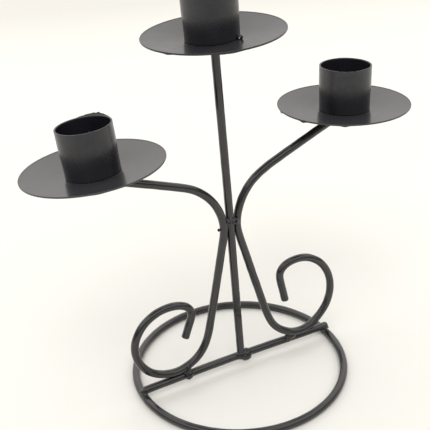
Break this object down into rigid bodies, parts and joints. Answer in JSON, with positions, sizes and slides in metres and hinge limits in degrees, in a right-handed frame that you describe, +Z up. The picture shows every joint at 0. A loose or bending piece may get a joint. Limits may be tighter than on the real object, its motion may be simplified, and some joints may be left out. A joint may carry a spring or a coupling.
{
  "type": "candle stand",
  "caption": "Tabletop torchere candle stand: scrolled arms and a post of bent round wire on a wire hoop base, each light a dished drip pan with an open cup.",
  "frame": {"origin": "on the table top, under the middle of the stand's bounding box", "axes": "+Z up; +X towards the right-hand light, seen from the front; -Y is the front, the side that the weld beads are on"},
  "size_m": [0.195, 0.1174, 0.1969],
  "materials": {
    "wire_paint": "black baked paint on round steel wire, semi-gloss, with a fine pebbled skin",
    "pan_paint": "smooth black baked paint on sheet steel, glossy enough to mirror the cup softly",
    "cup_paint": "smooth black baked paint on steel tube, semi-gloss, thin and lighter on the cut rim",
    "weld_paint": "black paint over rounded weld beads, glossier and darker than the wire"
  },
  "bodies": {
    "root": {"base_ring": "wire_paint", "base_crossbar": "wire_paint", "centre_post": "wire_paint", "left_scroll_arm": "wire_paint", "right_scroll_arm": "wire_paint", "centre_drip_pan": "pan_paint", "centre_candle_cup": "cup_paint", "centre_cup_tack_weld": "weld_paint", "left_drip_pan": "pan_paint", "left_candle_cup": "cup_paint", "left_cup_tack_weld": "weld_paint", "right_drip_pan": "pan_paint", "right_candle_cup": "cup_paint", "right_cup_tack_weld": "weld_paint", "centre_pan_weld": "weld_paint", "left_pan_weld": "weld_paint", "right_pan_weld": "weld_paint", "waist_left_weld": "weld_paint", "waist_right_weld": "weld_paint", "post_foot_weld": "weld_paint", "left_scroll_foot_weld": "weld_paint", "right_scroll_foot_weld": "weld_paint", "crossbar_left_weld": "weld_paint", "crossbar_right_weld": "weld_paint", "spatter_ball": "weld_paint"}
  },
  "joints": []
}
